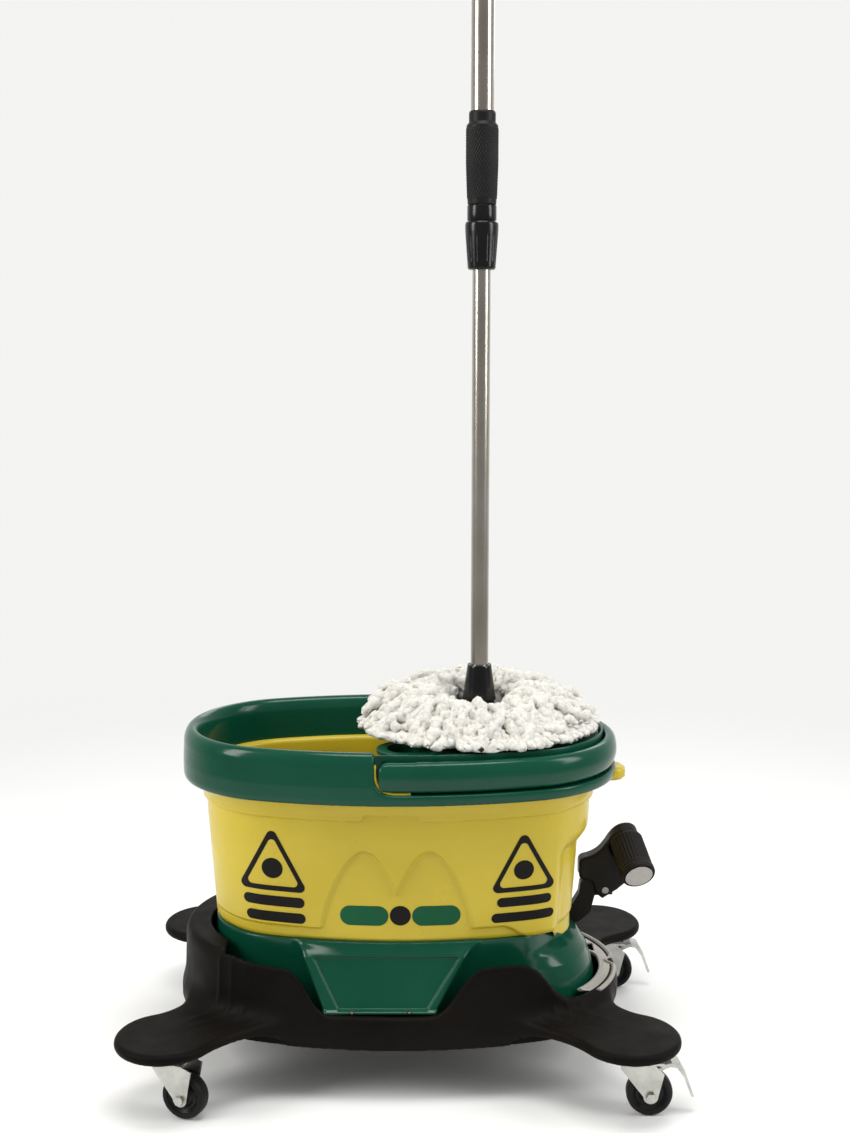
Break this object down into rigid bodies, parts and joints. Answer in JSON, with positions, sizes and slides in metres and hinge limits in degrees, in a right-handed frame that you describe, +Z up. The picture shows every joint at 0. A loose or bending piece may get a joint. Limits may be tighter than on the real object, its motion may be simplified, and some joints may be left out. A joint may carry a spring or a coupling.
{
  "type": "spin mop",
  "caption": "Wheeled oval mop bucket with a pedal-driven spin wringer, a rolling dolly and a round strand mop on a telescoping pole.",
  "frame": {"origin": "on the floor, under the middle of the dolly, where the four wheels stand", "axes": "+X along the bucket towards the pedal, +Y to the back, +Z up along the pole"},
  "size_m": [0.621, 0.432, 1.563],
  "materials": {
    "dolly_black": "satin moulded polypropylene",
    "trim_grey": "satin grey",
    "plate_black": "matt moulded",
    "bucket_yellow": "gloss moulded polypropylene",
    "green_gloss": "gloss moulded",
    "basket_green": "gloss moulded",
    "gear_white": "natural acetal",
    "pedal_black": "satin moulded nylon",
    "foot_rubber": "ribbed rubber",
    "pole_black": "gloss moulded",
    "grip_rubber": "diamond knurled",
    "stainless": "bright drawn tube",
    "zinc_steel": "zinc plated sheet",
    "bright_steel": "turned steel",
    "wheel_black": "moulded nylon",
    "tyre_black": "smooth rubber tread",
    "strand_white": "chenille microfibre strands"
  },
  "bodies": {
    "dolly": {"dolly_deck": "dolly_black", "trim_plate": "trim_grey", "caster_plates": "zinc_steel"},
    "fork_fl": {"caster_fork_fl": "zinc_steel", "axle_bolt_fl": "zinc_steel"},
    "wheel_fl": {"wheel_core_fl": "wheel_black", "wheel_tyre_fl": "tyre_black"},
    "fork_fr": {"caster_fork_fr": "zinc_steel", "axle_bolt_fr": "zinc_steel"},
    "wheel_fr": {"wheel_core_fr": "wheel_black", "wheel_tyre_fr": "tyre_black"},
    "brake_fr": {"brake_lever_fr": "zinc_steel"},
    "fork_bl": {"caster_fork_bl": "zinc_steel", "axle_bolt_bl": "zinc_steel"},
    "wheel_bl": {"wheel_core_bl": "wheel_black", "wheel_tyre_bl": "tyre_black"},
    "fork_br": {"caster_fork_br": "zinc_steel", "axle_bolt_br": "zinc_steel"},
    "wheel_br": {"wheel_core_br": "wheel_black", "wheel_tyre_br": "tyre_black"},
    "brake_br": {"brake_lever_br": "zinc_steel"},
    "bucket": {"base_plate": "plate_black", "base_housing": "green_gloss", "housing_screws": "bright_steel", "bucket": "bucket_yellow", "collar": "green_gloss", "wringer_deck": "green_gloss", "spindle_bushes": "gear_white", "bail_pins": "bright_steel", "gear_axle": "bright_steel", "pedal_pivot_pin": "bright_steel", "pedal_spring": "bright_steel"},
    "bail": {"bail_handle": "green_gloss"},
    "basket": {"basket_spindle": "bright_steel", "spin_basket": "basket_green", "basket_nut": "bright_steel", "clutch_hub": "bright_steel", "clutch_rollers": "bright_steel"},
    "clutch_gear": {"clutch_gear": "gear_white"},
    "compound_gear": {"compound_gear": "gear_white"},
    "rack": {"rack": "gear_white"},
    "pedal": {"pedal_lever": "pedal_black", "pedal_arm": "pedal_black", "pedal_arm_pin": "bright_steel", "roller_pin": "bright_steel"},
    "foot_roller": {"foot_roller": "foot_rubber"},
    "mop_neck": {"swivel_hub": "pole_black", "tilt_pin": "bright_steel"},
    "mop_head": {"mop_plate": "pole_black", "mop_strands": "strand_white", "plate_bearing": "bright_steel"},
    "lower_pole": {"pole_socket": "pole_black", "lower_tube": "stainless", "glide_bush": "pole_black"},
    "upper_pole": {"clamp_collet": "pole_black", "grip": "grip_rubber", "upper_tube": "stainless", "end_cap": "pole_black"},
    "twist_nut": {"twist_nut": "pole_black"}
  },
  "joints": [
    {"name": "swivel_fl", "type": "hinge", "parent": "dolly", "child": "fork_fl", "pos_m": [-0.248, -0.161, 0.06], "axis": [0, 0, 1], "continuous": true},
    {"name": "roll_fl", "type": "hinge", "parent": "fork_fl", "child": "wheel_fl", "pos_m": [-0.22733, -0.16852, 0.025], "axis": [0.342, 0.9397, 0], "continuous": true},
    {"name": "swivel_fr", "type": "hinge", "parent": "dolly", "child": "fork_fr", "pos_m": [0.248, -0.161, 0.06], "axis": [0, 0, 1], "continuous": true},
    {"name": "roll_fr", "type": "hinge", "parent": "fork_fr", "child": "wheel_fr", "pos_m": [0.27, -0.161, 0.025], "axis": [0, 1, 0], "continuous": true},
    {"name": "brake_press_fr", "type": "hinge", "parent": "fork_fr", "child": "brake_fr", "pos_m": [0.279, -0.161, 0.055], "axis": [0, 1, 0], "range_deg": [0, 10]},
    {"name": "swivel_bl", "type": "hinge", "parent": "dolly", "child": "fork_bl", "pos_m": [-0.248, 0.161, 0.06], "axis": [0, 0, 1], "continuous": true},
    {"name": "roll_bl", "type": "hinge", "parent": "fork_bl", "child": "wheel_bl", "pos_m": [-0.22621, 0.16406, 0.025], "axis": [-0.1392, 0.9903, 0], "continuous": true},
    {"name": "swivel_br", "type": "hinge", "parent": "dolly", "child": "fork_br", "pos_m": [0.248, 0.161, 0.06], "axis": [0, 0, 1], "continuous": true},
    {"name": "roll_br", "type": "hinge", "parent": "fork_br", "child": "wheel_br", "pos_m": [0.27, 0.161, 0.025], "axis": [0, 1, 0], "continuous": true},
    {"name": "brake_press_br", "type": "hinge", "parent": "fork_br", "child": "brake_br", "pos_m": [0.279, 0.161, 0.055], "axis": [0, 1, 0], "range_deg": [0, 10]},
    {"name": "bucket_lift", "type": "slide", "parent": "dolly", "child": "bucket", "axis": [0, 0, 1], "range_m": [0, 0.12]},
    {"name": "bail_swing", "type": "hinge", "parent": "bucket", "child": "bail", "pos_m": [-0.003, 0, 0.3655], "axis": [0, -1, 0], "range_deg": [0, 55]},
    {"name": "pedal_press", "type": "hinge", "parent": "bucket", "child": "pedal", "pos_m": [0.13, 0.043, 0.128], "axis": [0, 1, 0], "range_deg": [0, 30], "stiffness_Nm_per_rad": 3, "springref_deg": -22.92, "deforming": ["pedal_spring"]},
    {"name": "rack_slide", "type": "slide", "parent": "bucket", "child": "rack", "axis": [-1, 0, 0], "range_m": [0, 0.0215]},
    {"name": "compound_spin", "type": "hinge", "parent": "bucket", "child": "compound_gear", "pos_m": [0.055, 0.015, 0.09], "axis": [0, 0, 1], "range_deg": [0, 135]},
    {"name": "clutch_spin", "type": "hinge", "parent": "bucket", "child": "clutch_gear", "pos_m": [0.091, 0, 0.1], "axis": [0, 0, 1], "range_deg": [-445, 0]},
    {"name": "basket_spin", "type": "hinge", "parent": "bucket", "child": "basket", "pos_m": [0.091, 0, 0.3], "axis": [0, 0, 1], "continuous": true},
    {"name": "roller_spin", "type": "hinge", "parent": "pedal", "child": "foot_roller", "pos_m": [0.2662, 0.0389, 0.24], "axis": [0.1756, -0.848, -0.5], "continuous": true},
    {"name": "mop_lift", "type": "slide", "parent": "bucket", "child": "mop_neck", "axis": [0, 0, 1], "range_m": [0, 0.25]},
    {"name": "head_spin", "type": "hinge", "parent": "mop_neck", "child": "mop_head", "pos_m": [0.091, 0, 0.4], "axis": [0, 0, 1], "continuous": true},
    {"name": "handle_tilt", "type": "hinge", "parent": "mop_neck", "child": "lower_pole", "pos_m": [0.091, 0, 0.418], "axis": [0, -1, 0], "range_deg": [-20, 20]},
    {"name": "pole_slide", "type": "slide", "parent": "lower_pole", "child": "upper_pole", "axis": [0, 0, 1], "range_m": [-0.4, 0.04]},
    {"name": "nut_twist", "type": "hinge", "parent": "upper_pole", "child": "twist_nut", "pos_m": [0.091, 0, 0.926], "axis": [0, 0, 1], "range_deg": [0, 90]}
  ],
  "couplings": [
    {"joint": "rack_slide", "follows": "pedal_press", "m_per_rad": 0.039545},
    {"joint": "compound_spin", "follows": "pedal_press", "ratio": 4.3938},
    {"joint": "clutch_spin", "follows": "pedal_press", "ratio": -14.646},
    {"joint": "head_spin", "follows": "basket_spin", "ratio": 1}
  ]
}
